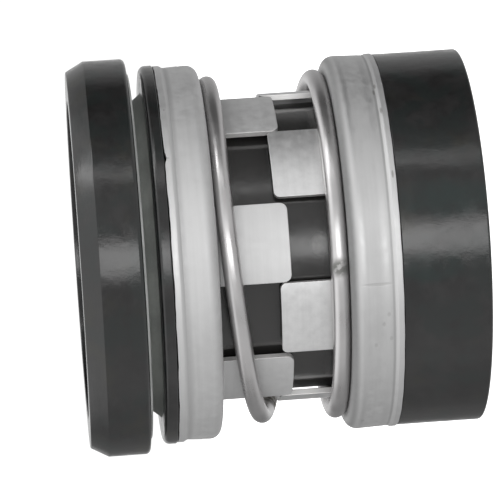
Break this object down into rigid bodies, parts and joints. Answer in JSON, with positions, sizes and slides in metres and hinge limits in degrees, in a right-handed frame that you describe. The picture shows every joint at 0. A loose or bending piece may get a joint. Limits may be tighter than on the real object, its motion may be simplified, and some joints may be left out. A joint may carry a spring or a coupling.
{
  "type": "component mechanical seal",
  "caption": "Elastomer bellows mechanical seal for a 25 mm shaft: a coil sprung rotary head with interlocking tabbed shells, running on a stationary seat in a rubber cup.",
  "frame": {"origin": "on the shaft axis, at the end face of the rubber tail that the seal stands on", "axes": "+Z along the shaft axis, from the tail of the rotary head to the back of the stationary seat"},
  "size_m": [0.04, 0.04, 0.0395],
  "materials": {
    "rubber": "smooth moulded black rubber, slightly glossy",
    "pressed_steel": "drawn stainless sheet, satin with faint marks round the wall",
    "spring_wire": "bright drawn stainless wire",
    "primary_face": "ground dark grey silicon carbide",
    "seat_face": "lapped grey silicon carbide"
  },
  "bodies": {
    "drive_unit": {"bellows": "rubber", "drive_band": "pressed_steel", "spring": "spring_wire"},
    "face_unit": {"retainer": "pressed_steel", "primary_ring": "primary_face"},
    "seat_unit": {"seat_ring": "seat_face", "seat_cup": "rubber"}
  },
  "joints": [
    {"name": "compress", "type": "slide", "parent": "drive_unit", "child": "face_unit", "axis": [0, 0, -1], "range_m": [0, 0.004], "stiffness_N_per_m": 1500, "springref_m": -0.002, "deforming": ["spring", "bellows"]},
    {"name": "spin", "type": "hinge", "parent": "face_unit", "child": "seat_unit", "pos_m": [0, 0, 0.0333], "axis": [0, 0, 1], "continuous": true}
  ]
}
